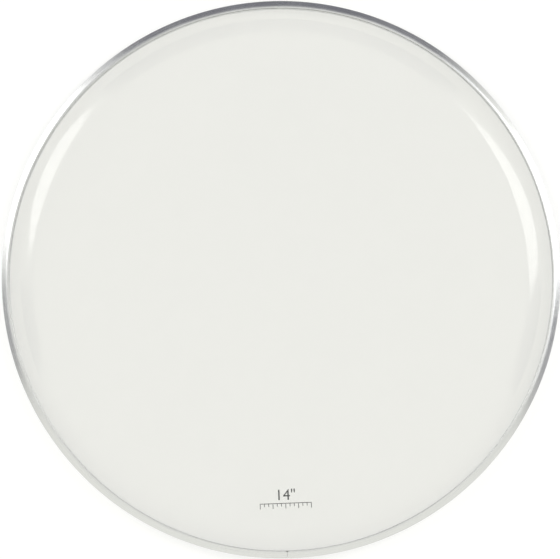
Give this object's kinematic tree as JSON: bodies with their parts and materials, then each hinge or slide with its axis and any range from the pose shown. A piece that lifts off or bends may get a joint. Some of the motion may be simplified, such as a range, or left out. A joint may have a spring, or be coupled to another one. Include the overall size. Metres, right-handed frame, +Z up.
{
  "type": "drum head",
  "caption": "Round clear plastic drum head: a flat playing film with a formed collar, cast into a bright aluminium channel hoop that drops over a drum shell under a tensioned rim.",
  "frame": {"origin": "centre of the hoop's underside", "axes": "+Z up towards the playing side, along the head's axis; -Y towards the hoop's butt seam"},
  "size_m": [0.368, 0.368, 0.018],
  "materials": {
    "clear_film": "clear polyester film, glossy, thermoformed",
    "hoop_aluminium": "bright rolled aluminium, drawn along the ring",
    "cast_resin": "cast clear amber resin",
    "splice_steel": "cold-rolled steel strip"
  },
  "bodies": {
    "root": {"film": "clear_film", "hoop_channel": "hoop_aluminium", "locking_resin": "cast_resin", "seam_splice": "splice_steel"}
  },
  "joints": []
}
